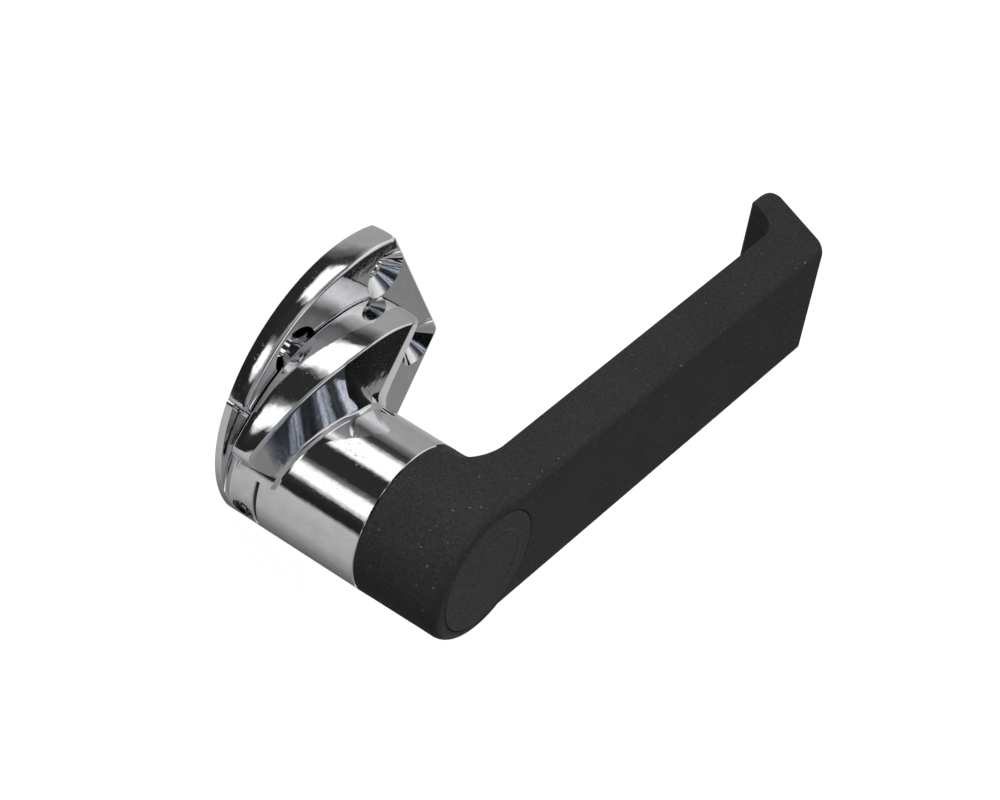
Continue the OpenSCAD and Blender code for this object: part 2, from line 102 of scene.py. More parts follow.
class Finish:
    def __init__(self, name):
        self.material = bpy.data.materials.new(name)
        self.material.use_nodes = True
        self.tree = self.material.node_tree
        self.tree.nodes.clear()
        self.place = self.node("TexCoord", out="Object")

    def node(self, kind, settings=None, out=0, **sockets):
        made = self.tree.nodes.new("ShaderNode" + kind)
        for key, value in (settings or {}).items():
            if key == "stops":
                while len(made.color_ramp.elements) < len(value):
                    made.color_ramp.elements.new(0.5)
                for element, (at, colour) in zip(made.color_ramp.elements, value):
                    element.position = at
                    element.color = colour
            else:
                setattr(made, key, value)
        # a socket is given by its name, or as _0, _1 where names repeat
        for key, value in sockets.items():
            key = int(key[1:]) if key[0] == "_" else key.replace("_", " ")
            if isinstance(value, Field):
                self.tree.links.new(value.socket, made.inputs[key])
            else:
                made.inputs[key].default_value = value
        return Field(self, made.outputs[out])

    def maths(self, operation, a, b):
        return self.node("Math", {"operation": operation}, _0=a, _1=b)

    def ramp(self, value, stops):
        return self.node("ValToRGB", {"stops": [(at, grey(v)) for at, v in stops]}, Fac=value)

    def blend(self, mask, a, b):
        return self.node("Mix", {"data_type": "RGBA"}, out=2, _0=mask, _6=a, _7=b)

    def multiply(self, a, b):
        return self.node("Mix", {"data_type": "RGBA", "blend_type": "MULTIPLY"}, out=2, _0=1.0, _6=a, _7=b)

    def noise(self, scale, detail=2, roughness=0.5, stretch=(1, 1, 1)):
        at = self.node("Mapping", Vector=self.place, Scale=stretch)
        return self.node("TexNoise", Vector=at, Scale=scale, Detail=detail, Roughness=roughness)

    def bump(self, height, distance):
        return self.node("Bump", Height=height, Distance=distance)

    def surface(self, **sockets):
        return self.show(self.node("BsdfPrincipled", **sockets))

    def show(self, shader):
        made = self.tree.nodes.new("ShaderNodeOutputMaterial")
        self.tree.links.new(shader.socket, made.inputs["Surface"])
        return self.material


# finishes; the larger a scale, the finer the pattern

chromeLook = {
    "tint": (0.80, 0.802, 0.81, 1),
    "dull": (0.725, 0.727, 0.74, 1), "dullScale": 260,
    "roughness": 0.035,
    "haze": 0.06, "hazeScale": 60,
    "dustRoughness": 0.1, "dustScale": 900,
    "pit": grey(0.42), "pitShade": 0.35, "pitRoughness": 0.2, "pitDepth": 0.15,
    "pitScale": 1500, "patchScale": 70,
    "ripple": 0.00004, "rippleScale": 210,
    "peel": 0.07, "peelScale": 2300,
}


def makeChrome(spec):
    f = Finish("chromedCasting")
    haze = f.noise(spec["hazeScale"], 3)
    dust = f.ramp(f.noise(spec["dustScale"], 2), [(0.66, 0), (0.72, 1)])
    # pinholes in the plating, gathered in patches
    patch = f.ramp(f.noise(spec["patchScale"], 2), [(0.42, 0), (0.62, 1)])
    pits = f.ramp(f.noise(spec["pitScale"], 1), [(0.69, 0), (0.73, 1)]) * patch
    rough = spec["roughness"] + haze * haze * spec["haze"] \
        + dust * spec["dustRoughness"] + pits * spec["pitRoughness"]
    cloud = f.ramp(f.noise(spec["dullScale"], 5, 0.62), [(0.38, 0), (0.66, 1)])
    colour = f.blend(cloud, spec["tint"], spec["dull"])
    colour = f.blend(pits * spec["pitShade"], colour, spec["pit"])
    wave = f.noise(spec["rippleScale"], 2) + f.noise(spec["peelScale"], 1) * spec["peel"]
    return f.surface(Base_Color=colour, Metallic=1.0, Roughness=rough,
                     Normal=f.bump(wave - pits * spec["pitDepth"], spec["ripple"]))


gripLook = {
    "dark": grey(0.0105), "light": grey(0.0185),
    "grainShare": 0.8, "shadeScale": 60,
    "speck": grey(0.17), "speckShade": 0.45, "speckScale": 1100,
    "roughness": 0.47, "roughnessSpread": 0.14,
    "gloss": 0.07,
    "grain": 0.00011, "grainScale": 1550, "swell": 0.5, "swellScale": 520,
}


def makeGrip(spec):
    f = Finish("gripPlastic")
    # spark-eroded grain of the mould, about half a millimetre across
    grain = f.noise(spec["grainScale"], 3, 0.65)
    shade = f.ramp(f.noise(spec["shadeScale"], 3), [(0.35, 0), (0.7, 1)])
    mottle = f.ramp(grain, [(0.4, 0), (0.64, 1)]) * spec["grainShare"] + shade * (1 - spec["grainShare"])
    colour = f.blend(mottle, spec["dark"], spec["light"])
    specks = f.ramp(f.noise(spec["speckScale"], 1), [(0.745, 0), (0.775, 1)])
    colour = f.blend(specks * spec["speckShade"], colour, spec["speck"])
    spread = spec["roughnessSpread"]
    rough = spec["roughness"] + f.noise(90, 2) * spread - spread / 2
    height = grain + f.noise(spec["swellScale"], 2) * spec["swell"]
    return f.surface(Base_Color=colour, Roughness=rough, Specular_IOR_Level=spec["gloss"],
                     Normal=f.bump(height, spec["grain"]))


capLook = {
    "dark": grey(0.008), "light": grey(0.028),
    "roughness": 0.46, "roughnessSpread": 0.1,
    "gloss": 0.14,
    "grain": 0.00007, "grainScale": 1500,
    "ringRadius": 0.0108, "ringReach": 0.02,
    # the ring's colour is painted shade, heavier on one side
    "ringShadeTint": grey(0.005), "ringShade": 0.5, "ringDepth": 0.00025, "ringFade": 40,
}


def makeCap(spec):
    f = Finish("capPlastic")
    grain = f.noise(spec["grainScale"], 3, 0.65)
    flat = f.node("VectorMath", {"operation": "MULTIPLY"}, out="Vector", _0=f.place, _1=(1, 1, 0))
    away = f.node("VectorMath", {"operation": "LENGTH"}, out="Value", _0=flat)
    # a faint ring of painted shade, darker on one side, also dented a little in the bump
    at = spec["ringRadius"] / spec["ringReach"]
    ring = f.ramp(away * (1 / spec["ringReach"]),
                  [(at - 0.03, 0), (at - 0.008, 1), (at + 0.008, 1), (at + 0.03, 0)])
    sideways = f.node("SeparateXYZ", out="X", Vector=f.place) * spec["ringFade"] + 0.5
    ringShadeAndDent = ring * f.ramp(sideways, [(0.35, 0), (0.75, 1)])
    colour = f.blend(f.ramp(grain, [(0.36, 0), (0.66, 1)]), spec["dark"], spec["light"])
    # painted shade along the ring, heavier on one side
    colour = f.blend(ringShadeAndDent * spec["ringShade"], colour, spec["ringShadeTint"])
    rough = spec["roughness"] + f.noise(110, 2) * spec["roughnessSpread"]
    height = grain * spec["grain"] - ringShadeAndDent * spec["ringDepth"]
    return f.surface(Base_Color=colour, Roughness=rough, Specular_IOR_Level=spec["gloss"],
                     Normal=f.bump(height, 1.0))


steelLooks = {
    "plainSteel": {"tint": grey(0.55), "roughness": 0.25, "roughnessSpread": 0.15},
    "darkSteel": {"tint": grey(0.06), "roughness": 0.42, "roughnessSpread": 0.15},
}


def makeSteel(name, spec):
    f = Finish(name)
    # fine turning marks round the axis
    turned = f.noise(80, 4, 0.6, (1, 1, 12))
    return f.surface(Base_Color=spec["tint"], Metallic=1.0,
                     Roughness=spec["roughness"] + turned * spec["roughnessSpread"])


bushLook = {"dark": grey(0.006), "light": grey(0.011), "roughness": 0.5}


def makeBush(spec):
    f = Finish("bushPlastic")
    colour = f.blend(f.noise(90, 2), spec["dark"], spec["light"])
    return f.surface(Base_Color=colour, Roughness=spec["roughness"])


chrome = makeChrome(chromeLook)
gripPlastic = makeGrip(gripLook)
capPlastic = makeCap(capLook)
bushPlastic = makeBush(bushLook)
plainSteel = makeSteel("plainSteel", steelLooks["plainSteel"])
darkSteel = makeSteel("darkSteel", steelLooks["darkSteel"])
print("finishes made")


# shaping helpers: sizes in millimetres, angles in degrees

def sinDeg(a):
    return math.sin(math.radians(a))


def cosDeg(a):
    return math.cos(math.radians(a))


def tanDeg(a):
    return math.tan(math.radians(a))


def clamp(v):
    return max(0, min(1, v))


def polar(r, angle, z=0):
    return Vector((r * cosDeg(angle), r * sinDeg(angle), z))


def beyondLine(x, y, angle):
    # how far a point lies to the left of the line through the axis in that direction
    return y * cosDeg(angle) - x * sinDeg(angle)


def lineTo(bm, vert, place):
    new = bmesh.ops.extrude_vert_indiv(bm, verts=[vert])["verts"][0]
    new.co = place
    return new


def arcTo(bm, vert, centre, angle, steps):
    made = bmesh.ops.spin(bm, geom=[vert], cent=centre, axis=(0, 0, 1), angle=math.radians(angle),
                          steps=steps, use_duplicate=False)
    return [g for g in made["geom_last"] if isinstance(g, bmesh.types.BMVert)][0]


def closeOutline(bm):
    bmesh.ops.remove_doubles(bm, verts=bm.verts, dist=0.005)
    return bmesh.ops.contextual_create(bm, geom=bm.edges[:])["faces"][0]


def extrudeUp(bm, face, height):
    made = bmesh.ops.extrude_face_region(bm, geom=[face])
    top = [g for g in made["geom"] if isinstance(g, bmesh.types.BMVert)]
    bmesh.ops.translate(bm, verts=top, vec=(0, 0, height))
    bmesh.ops.recalc_face_normals(bm, faces=bm.faces)


def cutAcross(bm, place, normal):
    bmesh.ops.bisect_plane(bm, geom=bm.verts[:] + bm.edges[:] + bm.faces[:], plane_co=place,
                           plane_no=normal)


def uprightsAt(bm, corners, near):
    # the vertical edges that stand at the given corners
    return [e for e in bm.edges if abs(e.verts[0].co.z - e.verts[1].co.z) > 1
            and any((e.verts[0].co.xy - p.xy).length < near for p in corners)]


def roundEdges(bm, edges, radius):
    bmesh.ops.bevel(bm, geom=edges, offset=radius, segments=5, profile=0.5, affect="EDGES", material=-1)


def spinProfile(points, steps):
    bm = bmesh.new()
    first = bm.verts.new((points[0][0], 0, points[0][1]))
    last = first
    for r, z in points[1:]:
        last = lineTo(bm, last, (r, 0, z))
    bmesh.ops.spin(bm, geom=bm.verts[:] + bm.edges[:], cent=(0, 0, 0), axis=(0, 0, 1),
                   angle=2 * math.pi, steps=steps, use_merge=True, use_duplicate=False)
    bmesh.ops.remove_doubles(bm, verts=bm.verts, dist=0.002)
    bmesh.ops.recalc_face_normals(bm, faces=bm.faces)
    return bm


def roundCorner(a, b, c, radius, steps):
    # points of the arc that rounds the corner b of a profile
    a, b, c = Vector(a), Vector(b), Vector(c)
    u, v = (a - b).normalized(), (c - b).normalized()
    half = math.acos(max(-1, min(1, u.dot(v)))) / 2
    cut = radius / math.tan(half)
    centre = b + (u + v).normalized() * (radius / math.sin(half))
    start, end = b + u * cut - centre, b + v * cut - centre
    sweep = start.angle_signed(end)
    turned = []
    for i in range(steps + 1):
        t = -sweep * i / steps
        turned.append(centre + Vector((start.x * math.cos(t) - start.y * math.sin(t),
                                       start.x * math.sin(t) + start.y * math.cos(t))))
    return turned


def putInOrder(bm):
    # operators leave their elements in another order each run, and booleans and bevels follow that order
    for elements, place in ((bm.verts, lambda v: [round(c, 7) for c in v.co]),
                            (bm.edges, lambda e: sorted(v.index for v in e.verts)),
                            (bm.faces, lambda f: sorted(v.index for v in f.verts))):
        for i, element in enumerate(sorted(elements, key=place)):
            element.index = i
        elements.sort()
        elements.index_update()


def toObject(name, bm):
    bmesh.ops.scale(bm, vec=(mm, mm, mm), verts=bm.verts)
    putInOrder(bm)
    mesh = bpy.data.meshes.new(name)
    bm.to_mesh(mesh)
    bm.free()
    piece = bpy.data.objects.new(name, mesh)
    bpy.context.scene.collection.objects.link(piece)
    return piece


def settle(piece):
    # live modifiers become the mesh
    bpy.context.view_layer.update()
    shown = piece.evaluated_get(bpy.context.evaluated_depsgraph_get())
    mesh = bpy.data.meshes.new_from_object(shown)
    piece.modifiers.clear()
    bm = bmesh.new()
    bm.from_mesh(mesh)
    putInOrder(bm)
    bm.to_mesh(mesh)
    bm.free()
    piece.data = mesh


def carve(piece, tools, operation):
    for tool in tools:
        cut = piece.modifiers.new("cut", "BOOLEAN")
        cut.operation = operation
        cut.solver = "EXACT"
        cut.object = tool
    settle(piece)
    for tool in tools:
        bpy.data.objects.remove(tool)


def dropCollapsed(mesh):
    # where a bevel is clamped its faces have no area
    bm = bmesh.new()
    bm.from_mesh(mesh)
    bmesh.ops.remove_doubles(bm, verts=bm.verts, dist=0.001 * mm)
    bmesh.ops.dissolve_degenerate(bm, edges=bm.edges, dist=0.001 * mm)
    putInOrder(bm)
    bm.to_mesh(mesh)
    bm.free()


def softenEdges(piece, width, angle):
    bevel = piece.modifiers.new("soften", "BEVEL")
    bevel.width = width * mm
    bevel.segments = 2
    bevel.limit_method = "ANGLE"
    bevel.angle_limit = math.radians(angle)
    bevel.harden_normals = False
    bevel.use_clamp_overlap = True
    settle(piece)
    dropCollapsed(piece.data)


def shade(mesh, material, sharp):
    mesh.materials.clear()
    mesh.materials.append(material)
    mesh.shade_smooth()
    mesh.set_sharp_from_angle(angle=math.radians(sharp))


def evenShading(piece):
    weigh = piece.modifiers.new("evenShading", "WEIGHTED_NORMAL")
    weigh.keep_sharp = True


# base plate: pad, flange and collar, in the sizes of its CAD node

plateSpec = {
    "arcCentre": polar(20.3, 33), "arcRadius": 40.3, "arcEnd": 213,
    "barrelRadius": 20.0,
    "edgeA": 50.2, "edgeB": 43.6, "half": 30,
    "flange": 2.0, "inset": 0.32, "padOverlap": 4,
    "pad": 7.2, "crease": 78, "slope": 3.8, "padEnd": 130, "padStart": -60,
    "padRows": (0.15, 0.35, 0.55, 0.75), "crown": 1.0, "crownMiddle": 0.55,
    "rimAbove": 4.4, "ridgeRound": 1.1, "cornerRound": 1.5, "flangeRound": 1.8,
    "collar": 9.9, "collarFillet": 1.5, "collarChamfer": 0.25, "collarGap": 0.02,
    "bushBore": 14.6, "ringBore": 17.4, "ringDepth": 3.2,
    "screws": ((26.35, 40.16), (45.35, 7.25), (-5.44, 34.37)), "hole": 3.2, "sink": 6.6,
    "limitAngle": 201, "limitZ": 6.35, "limitBore": 2.5, "limitMouth": 3.1, "limitDepth": 1.6,
    "soften": 0.22, "softenAngle": 40, "sharp": 30,
}


def plateCorners(s):
    # where the arc meets the first straight edge, and the two corners after it
    c = s["arcCentre"]
    cosHalf, sinHalf = cosDeg(s["half"]), sinDeg(s["half"])
    toEdge = s["edgeA"] - c.dot(polar(1, s["half"]))
    first = c + polar(s["arcRadius"], s["half"] + math.degrees(math.acos(toEdge / s["arcRadius"])))
    second = Vector(((s["edgeA"] + s["edgeB"]) / 2 / cosHalf, (s["edgeA"] - s["edgeB"]) / 2 / sinHalf, 0))
    third = Vector(((s["edgeB"] - s["barrelRadius"] * sinHalf) / cosHalf, -s["barrelRadius"], 0))
    return first, second, third


def arcAngle(s, point):
    d = point - s["arcCentre"]
    return math.degrees(math.atan2(d.y, d.x))


def padHeight(s, x, y):
    return s["pad"] - tanDeg(s["slope"]) * max(0, beyondLine(x, y, s["crease"]))


def makePad(s):
    bm = bmesh.new()
    first, second, third = plateCorners(s)
    c = s["arcCentre"]
    u = polar(1, s["padEnd"])
    start = u * (c.dot(u) + math.sqrt(s["arcRadius"] ** 2 - c.length_squared + c.dot(u) ** 2))
    vert = bm.verts.new(start)
    vert = arcTo(bm, vert, c, arcAngle(s, first) - arcAngle(s, start), 90)
    vert = lineTo(bm, vert, second)
    vert = lineTo(bm, vert, third)
    vert = lineTo(bm, vert, polar(-s["barrelRadius"] / sinDeg(s["padStart"]), s["padStart"]))
    vert = lineTo(bm, vert, Vector((0, 0, 0)))
    lineTo(bm, vert, start)
    extrudeUp(bm, closeOutline(bm), s["pad"])
    roundEdges(bm, uprightsAt(bm, (first, second, third, start), 0.1), s["cornerRound"])

    # rows in the wall for its crown, and one across the top where it starts to slope
    for part in s["padRows"]:
        cutAcross(bm, (0, 0, s["pad"] * part), (0, 0, 1))
    cutAcross(bm, (0, 0, 0), polar(1, s["crease"] + 90))
    for v in bm.verts:
        part = v.co.z / s["pad"]
        v.co.z = padHeight(s, v.co.x, v.co.y) * part
        tuck = 1 - s["crown"] * (part - s["crownMiddle"]) ** 2 / s["arcRadius"]
        v.co.xy = c.xy + (v.co.xy - c.xy) * tuck

    rim = [e for e in bm.edges if min(v.co.z for v in e.verts) > s["rimAbove"]
           and any(f.normal.z < 0.5 for f in e.link_faces) and any(f.normal.z > 0.9 for f in e.link_faces)]
    roundEdges(bm, rim, s["ridgeRound"])
    return toObject("platePad", bm)


def makeFlange(s, name, height):
    bm = bmesh.new()
    first, second, third = plateCorners(s)
    c = s["arcCentre"]
    bottom = Vector((0, -s["barrelRadius"], 0))
    vert = bm.verts.new(bottom)
    vert = arcTo(bm, vert, (0, 0, 0), s["arcEnd"] - 270, 60)
    vert = arcTo(bm, vert, c, arcAngle(s, first) - s["arcEnd"], 150)
    vert = lineTo(bm, vert, second)
    vert = lineTo(bm, vert, third)
    lineTo(bm, vert, bottom)
    extrudeUp(bm, closeOutline(bm), height)
    # under the pad the flange's wall stays just inside the pad's
    padSide = polar(1, s["padEnd"] - 90).xy
    for v in bm.verts:
        if v.co.y > v.co.x * tanDeg(s["padEnd"]) and v.co.xy.dot(padSide) > -s["padOverlap"]:
            v.co.xy -= (v.co.xy - c.xy).normalized() * s["inset"]
    roundEdges(bm, uprightsAt(bm, (first, second, third), 0.6), s["flangeRound"])
    return toObject(name, bm)


def makeCollar(s):
    # a disc that stands in the flange, with a fillet, clipped to the flange's outline
    r, h, f, z = s["barrelRadius"] - s["collarGap"], s["collar"], s["collarFillet"], s["flange"]
    foot, chamfer = r + f + 0.2, s["collarChamfer"]
    profile = [(0, s["collarGap"]), (foot, s["collarGap"]), (foot, z - 0.05)]
    profile += [(r + f - f * sinDeg(a), z + f - f * cosDeg(a)) for a in range(0, 91, 10)]
    profile += [(r, h - chamfer), (r - chamfer, h), (0, h)]
    collar = toObject("plateCollar", spinProfile(profile, 180))
    carve(collar, [makeFlange(s, "collarClip", h + 2)], "INTERSECT")
    return collar


def screwCutter(s, place):
    top = padHeight(s, place.x, place.y)
    low, over = top - (s["sink"] - s["hole"]), 1.5
    bm = spinProfile([(0, -1), (s["hole"], -1), (s["hole"], low), (s["sink"] + over, top + over),
                      (0, top + over)], 72)
    bmesh.ops.translate(bm, verts=bm.verts, vec=(place.x, place.y, 0))
    return toObject("screwCutter", bm)


def boreCutter(s):
    return toObject("boreCutter", spinProfile([
        (0, -1), (s["ringBore"], -1), (s["ringBore"], s["ringDepth"]), (s["bushBore"], s["ringDepth"]),
        (s["bushBore"], s["collar"] + 1), (0, s["collar"] + 1)], 120))


def limitCutter(s):
    step, outside = s["barrelRadius"] - s["limitDepth"], 26
    bm = spinProfile([(0, 0), (s["limitBore"], 0), (s["limitBore"], step), (s["limitMouth"], step),
                      (s["limitMouth"], outside), (0, outside)], 48)
    turn = Matrix.Translation((0, 0, s["limitZ"])) @ Matrix.Rotation(math.radians(s["limitAngle"]), 4, "Z") \
        @ Matrix.Rotation(math.radians(90), 4, "Y")
    bmesh.ops.transform(bm, verts=bm.verts, matrix=turn)
    return toObject("limitCutter", bm)


def dress(piece, body, nodes, material, sharp):
    shade(piece.data, material, sharp)
    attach(piece, body)
    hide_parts(*nodes)
    print("piece", piece.name, len(piece.data.polygons), "faces")


def makeBasePlate(s):
    plate = makePad(s)
    carve(plate, [makeFlange(s, "plateFlange", s["flange"]), makeCollar(s)], "UNION")
    tools = [screwCutter(s, Vector((x, y, 0))) for x, y in s["screws"]]
    carve(plate, tools + [boreCutter(s), limitCutter(s)], "DIFFERENCE")
    plate.name = "basePlate"
    softenEdges(plate, s["soften"], s["softenAngle"])
    dress(plate, "base", ["base_plate"], chrome, s["sharp"])
    evenShading(plate)


makeBasePlate(plateSpec)


# rotor: turned barrel and the spiral cam lobe beside it

barrelSpec = {
    "radius": 20.0, "low": 10.7, "top": 40.5, "chamfer": 0.5, "lowChamfer": 0.25, "lowRing": 8,
    "spigot": 13.0, "spigotEnd": 0.5, "spigotChamfer": 0.3, "groove": (1.0, 2.0, 11.9),
    "core": 16.0, "post": 11.42, "coreFloor": 17.7,
    "boss": 17.0, "bossTop": 52.5, "bossSunk": 1,
    "sharp": 34,
}

lobeSpec = {
    "barrel": 20, "inside": 18.0, "bore": 20.4, "seat": 10.9,
    # outer edge: an off-centre arc, cut off by the slanted flank, ending in a thin skirt
    "edgeRadius": 36.1, "shift": 9.6, "shiftAngle": 9.5,
    "flank": 12.3, "flankAngle": -22.9, "flankSlope": 0.22, "flankEnd": 66, "flankBlend": 1.3,
    "tail": 146, "tailTurn": 9, "skirt": 20.9,
    # front: a level tip, then a ramp that falls round the barrel
    "front": 19.7, "tipAngle": 57, "tipFall": 0.02,
    "fallAngle": 84, "fallBlend": 3.5, "fallLag": 2, "ridgeFall": 0.152,
    "root": 22.4, "rootFall": 0.085, "rootAngle": 60, "rootDip": 0.05,
    "creaseDist": 18.1, "creaseAngle": 32.4, "creaseSpan": 64, "climb": 1.6,
    # back: follows the pad, and drops past the pad's end
    "back": 7.35, "padSlope": 3.8, "padCrease": 78, "padEnd": 130,
    "gap": 0.35, "tailDrop": 1.5, "tailSlope": 6.8,
    "fillet": 1.1, "filletLeast": 0.12, "filletSpan": 3.2,
    "tipFillet": 1.5, "tipFilletEnd": 68, "tipFilletFade": 10,
    "ridgeRound": 0.7, "flankRound": 1.8, "flankRoundEnd": 60, "flankRoundFade": 22,
    "backRound": 0.6, "crown": 1.3, "crownMiddle": 0.35,
    # directions of the sections: from, to and step, closer where the outline turns fast
    "turns": ((44, 60, 0.5), (60, 145, 1), (145, 155, 0.5), (155, 164, 1)),
    "flankSteps": 20, "rampRows": 26, "rampCrowd": 1.35,
}


def edgeRadius(s, a):
    off = a - s["shiftAngle"]
    return s["shift"] * cosDeg(off) + math.sqrt(s["edgeRadius"] ** 2 - (s["shift"] * sinDeg(off)) ** 2)


def lobeRadius(s, a):
    edge = edgeRadius(s, a)
    flank = s["flank"] / cosDeg(a - s["flankAngle"]) if a < s["flankEnd"] else math.inf
    if abs(edge - flank) > 14:
        rounded = min(edge, flank)
    else:
        k = s["flankBlend"]
        rounded = -k * math.log(math.exp(-edge / k) + math.exp(-flank / k))
    if a <= s["tail"]:
        return rounded
    if a >= s["tail"] + s["tailTurn"]:
        return s["skirt"]
    part = (a - s["tail"]) / s["tailTurn"]
    return s["skirt"] + (edge - s["skirt"]) * math.sqrt(1 - part ** 2)


def ridgeHeight(s, a):
    # level at the tip, then a steady fall, with a soft change between them
    lead = s["tipFall"] * (min(a, s["fallAngle"]) - s["tipAngle"]) if a > s["tipAngle"] else 0
    k = s["fallBlend"]
    fall = k * math.log(1 + math.exp(min(40, (a - s["fallAngle"] - s["fallLag"]) / k)))
    return s["front"] - lead - s["ridgeFall"] * fall


def rootHeight(s, a):
    return s["root"] - s["rootFall"] * max(0, a - s["fallAngle"]) - s["rootDip"] * max(0, s["rootAngle"] - a)


def climbRadius(s, a):
    # where the ramp starts to climb towards the barrel
    if a >= s["creaseAngle"] + s["creaseSpan"]:
        return edgeRadius(s, a)
    crease = s["creaseDist"] / cosDeg(a - s["creaseAngle"])
    return min(edgeRadius(s, a), max(s["barrel"] + s["climb"], crease))


def filletAt(s, a):
    # the flat at the tip runs into the barrel over a wide fillet, which fades where the lobe gets thin
    thin = max(s["filletLeast"], min(1, (lobeRadius(s, a) - s["barrel"]) / s["filletSpan"]))
    return thin * (s["fillet"] + s["tipFillet"] * clamp((s["tipFilletEnd"] - a) / s["tipFilletFade"]))


def frontHeight(s, r, a):
    fillet, barrel = filletAt(s, a), s["barrel"]
    top = ridgeHeight(s, a) - s["flankSlope"] * max(r, barrel) * sinDeg(max(0, s["tipAngle"] - a))
    root = max(rootHeight(s, a) - fillet, top)
    outer = climbRadius(s, a)
    ramp = top + (root - top) * max(0, outer - max(r, barrel)) / (outer - barrel)
    reach = min(fillet, max(0, barrel + fillet - max(r, barrel)))
    return ramp + fillet - math.sqrt(fillet ** 2 - reach ** 2)


def backHeight(s, r, a):
    x, y = r * cosDeg(a), r * sinDeg(a)
    low = s["back"] - tanDeg(s["padSlope"]) * max(0, beyondLine(x, y, s["padCrease"]))
    tail = beyondLine(x, y, s["padEnd"]) - s["gap"]
    if tail > 0:
        low = min(low, s["back"] - s["tailDrop"] - tanDeg(s["tailSlope"]) * tail)
    return low


def lobeSection(s, a):
    # closed outline of the lobe in the half plane at one direction, from inside the barrel's wall
    barrel, inside, rows = s["barrel"], s["inside"], s["rampRows"]
    outer = lobeRadius(s, a)
    span = max(outer - barrel, 0.1)
    flankRound = s["flankRound"] * clamp((s["flankRoundEnd"] - a) / s["flankRoundFade"])
    ridgeRound = min(s["ridgeRound"] + flankRound, span * 0.3)
    backRound = min(s["backRound"], span * 0.3)
    edge = outer - ridgeRound * 1.5
    if edge > barrel:
        reach = [barrel + (edge - barrel) * (i / rows) ** s["rampCrowd"] for i in range(rows + 1)]
        reach.insert(0, inside)
    else:
        reach = [inside + (edge - inside) * i / (rows + 1) for i in range(rows + 2)]
    front = [Vector((r, frontHeight(s, r, a))) for r in reach]

    # outside the collar the lobe hangs down beside it; where it is too thin for that it ends above the collar
    overhangs = outer > s["bore"] + 0.15
    bore = s["bore"] if overhangs else (outer + inside) / 2
    low = backHeight(s, outer, a) if overhangs else s["seat"]
    boreLow = backHeight(s, bore, a) if overhangs else s["seat"]
    high = frontHeight(s, outer, a)
    crown = s["crown"] * min(1, span / 6)

    def wall(part):
        return Vector((outer - crown * (part - s["crownMiddle"]) ** 2, low + (high - low) * part))
    corner = roundCorner(front[-1], wall(1), wall(0.8), ridgeRound, 5)
    heel = roundCorner(wall(0.2), wall(0), (bore, boreLow), backRound, 3)
    walls = [wall(part / 10) for part in range(8, 1, -1)]
    back = [heel[-1].lerp(Vector((bore, boreLow)), i / 5) for i in range(1, 6)]
    seat = [Vector((bore, s["seat"])), Vector((inside, s["seat"]))]
    return front + corner + walls + heel + back + seat + front[:1]


def makeLobe(s):
    start = s["flankAngle"] + math.degrees(math.acos(s["flank"] / (s["inside"] + 1.2)))
    steps, flankSide = s["flankSteps"], s["turns"][0][0]
    directions = [start + (flankSide - start) * i / steps for i in range(steps + 1)]
    for begin, end, step in s["turns"]:
        directions += [begin + step * i for i in range(1, int((end - begin) / step) + 1)]
    sections = [lobeSection(s, a) for a in directions]
    columns, rows = len(directions) - 1, len(sections[0]) - 1
    bm = bmesh.new()
    grid = bmesh.ops.create_grid(bm, x_segments=columns, y_segments=rows, size=1)["verts"]
    for v in grid:
        # the grid's own place gives each point its section and its row
        i, j = round((v.co.x + 1) / 2 * columns), round((v.co.y + 1) / 2 * rows)
        v.co = polar(sections[i][j].x, directions[i], sections[i][j].y)
    bmesh.ops.remove_doubles(bm, verts=bm.verts, dist=0.0005)
    bmesh.ops.holes_fill(bm, edges=[e for e in bm.edges if e.is_boundary], sides=0)
    bmesh.ops.recalc_face_normals(bm, faces=bm.faces)
    return bm


def addBoss(bm, b):
    # square boss on the post, sunk a little into it
    rise = b["bossTop"] - b["top"] + b["bossSunk"]
    boss = bmesh.ops.create_cube(bm, size=1)["verts"]
    bmesh.ops.scale(bm, vec=(b["boss"], b["boss"], rise), verts=boss)
    bmesh.ops.translate(bm, vec=(0, 0, (b["bossTop"] + b["top"] - b["bossSunk"]) / 2), verts=boss)


def makeRotor(b, lobe):
    low, high, into = b["groove"]
    bm = spinProfile([
        (0, b["spigotEnd"]), (b["spigot"] - b["spigotChamfer"], b["spigotEnd"]),
        (b["spigot"], b["spigotEnd"] + b["spigotChamfer"]),
        (b["spigot"], low), (into, low), (into, high), (b["spigot"], high),
        (b["spigot"], b["low"]), (b["radius"] - b["lowChamfer"], b["low"]),
        (b["radius"], b["low"] + b["lowChamfer"]),
        (b["radius"], b["low"] + b["lowRing"]), (b["radius"], b["top"] - b["chamfer"]),
        (b["radius"] - b["chamfer"], b["top"]), (b["core"], b["top"]), (b["core"], b["coreFloor"]),
        (b["post"], b["coreFloor"]), (b["post"], b["top"]), (0, b["top"])], 240)
    addBoss(bm, b)
    body = makeLobe(lobe)
    spare = bpy.data.meshes.new("lobeSpare")
    body.to_mesh(spare)
    body.free()
    bm.from_mesh(spare)
    bpy.data.meshes.remove(spare)
    dress(toObject("rotorCam", bm), "rotor", ["rotor_cam"], chrome, b["sharp"])


makeRotor(barrelSpec, lobeSpec)


# CAD nodes that keep their own mesh get their finishes

nodeFinishes = {
    "lever_handle": gripPlastic, "hub_cap": capPlastic, "bearing_bush": bushPlastic,
    "limit_screw": darkSteel, "thrust_washer": plainSteel, "wave_washer": plainSteel,
    "retaining_ring": darkSteel, "handle_washer": plainSteel, "handle_screw": plainSteel,
}
nodeSharp = 32
for name, material in nodeFinishes.items():
    shade(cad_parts[name].data, material, nodeSharp)
print("nodes dressed")


# studio: white backdrop, soft lamps, and the room that the chrome shows

